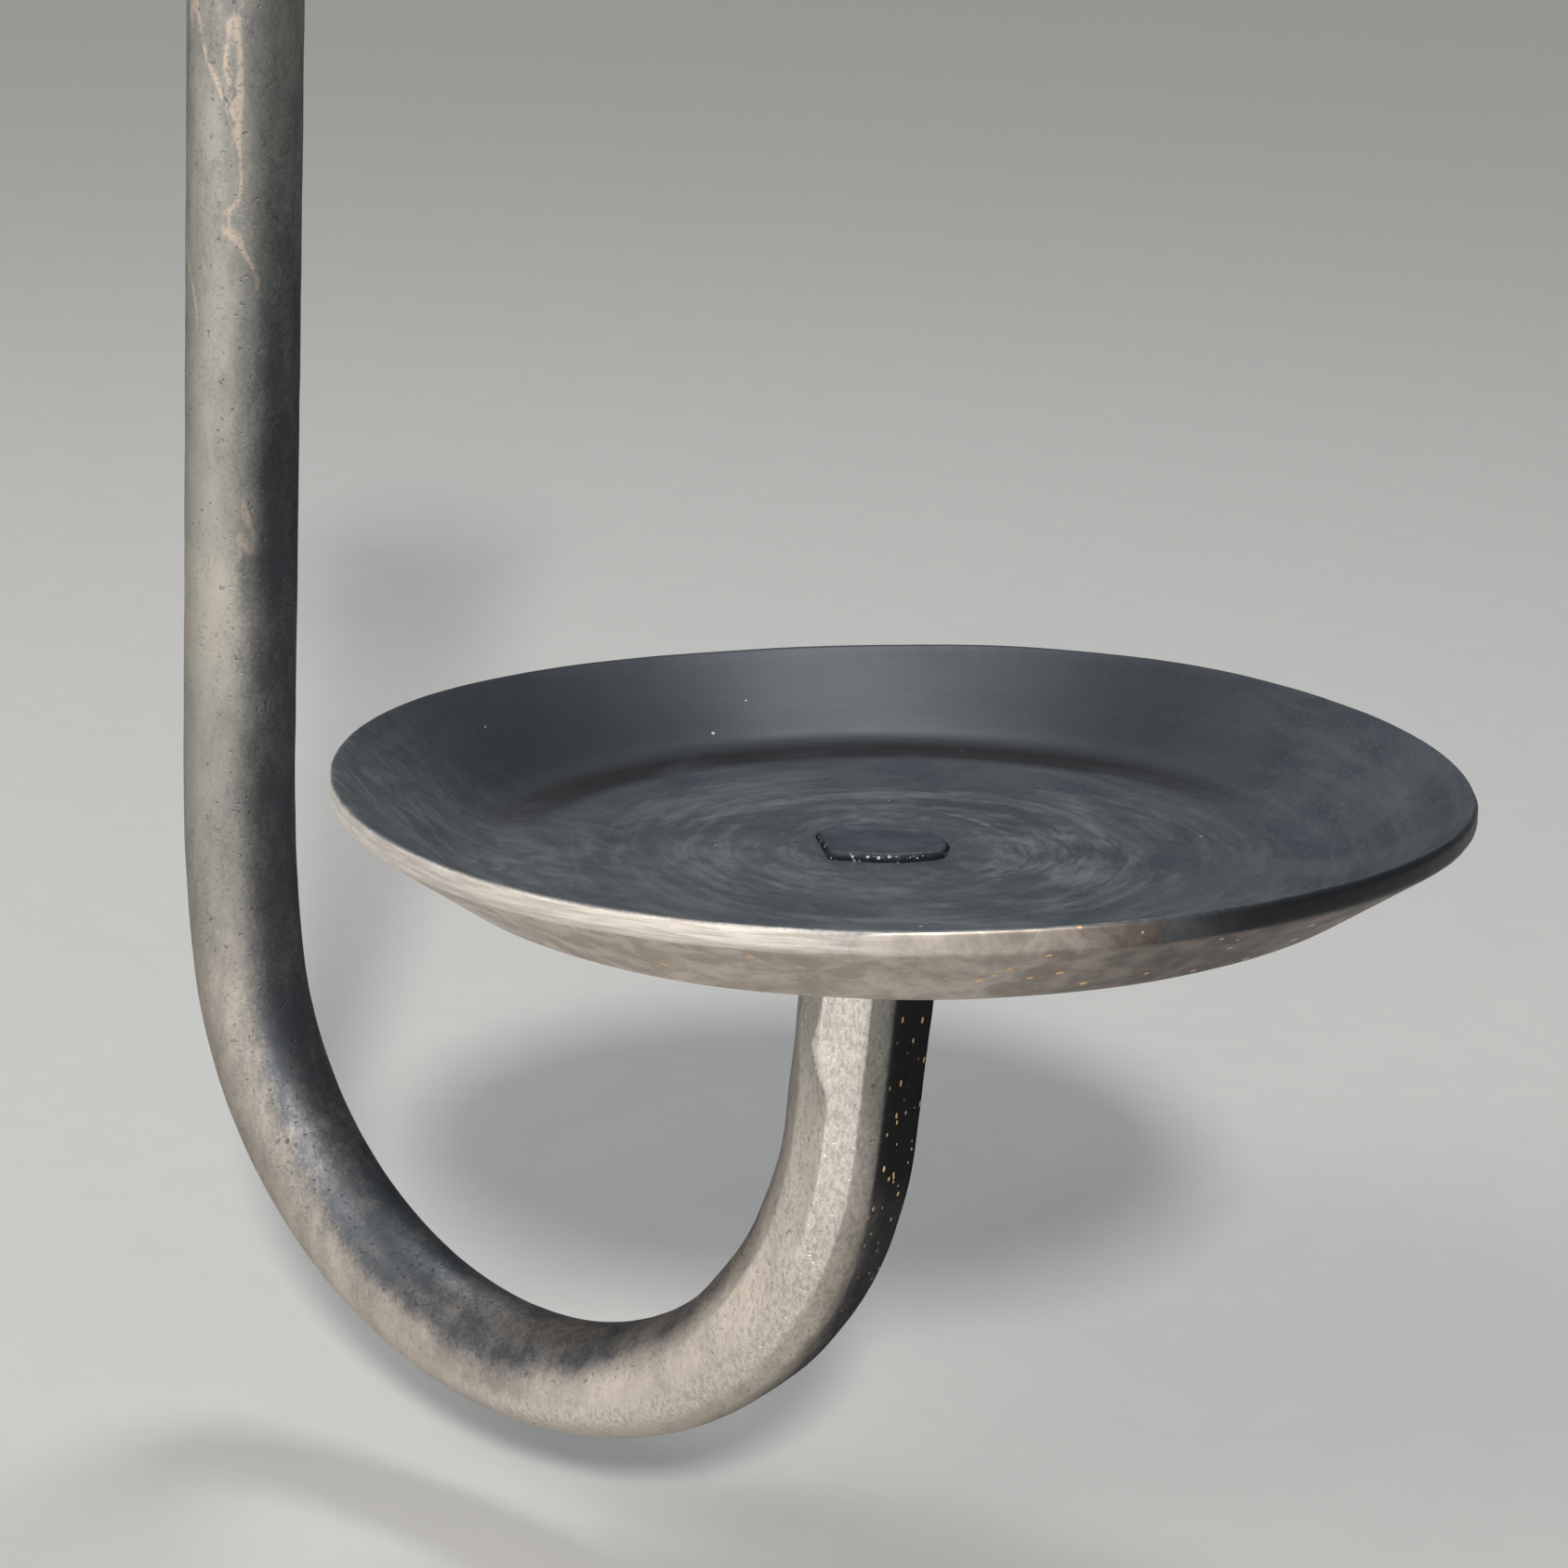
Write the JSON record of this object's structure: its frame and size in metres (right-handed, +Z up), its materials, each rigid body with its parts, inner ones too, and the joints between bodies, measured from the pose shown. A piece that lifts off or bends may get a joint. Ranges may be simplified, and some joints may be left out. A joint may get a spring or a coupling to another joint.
{
  "type": "wall sconce candle holder",
  "caption": "Forged wall sconce for one candle: a round bar hooks into a J and carries a riveted, dished drip pan; its flattened top screws to a wall.",
  "frame": {"origin": "on the wall, at the centre of the back of the flattened top, midway between the two screws", "axes": "+Z up, +Y into the wall, so the sconce stands out along -Y; +X sideways, across the plane of the bar"},
  "size_m": [0.1072, 0.179, 0.28],
  "materials": {
    "forged_bar": "forge scale, wire brushed and waxed, with bright hammered facets on the rise",
    "waxed_sheet": "blackened and waxed, matt, with a bare ground rim edge",
    "black_screw": "black oxide, satin"
  },
  "bodies": {
    "root": {"bracket_arm": "forged_bar", "drip_pan": "waxed_sheet", "wall_screw_upper": "black_screw", "wall_screw_lower": "black_screw"}
  },
  "joints": []
}
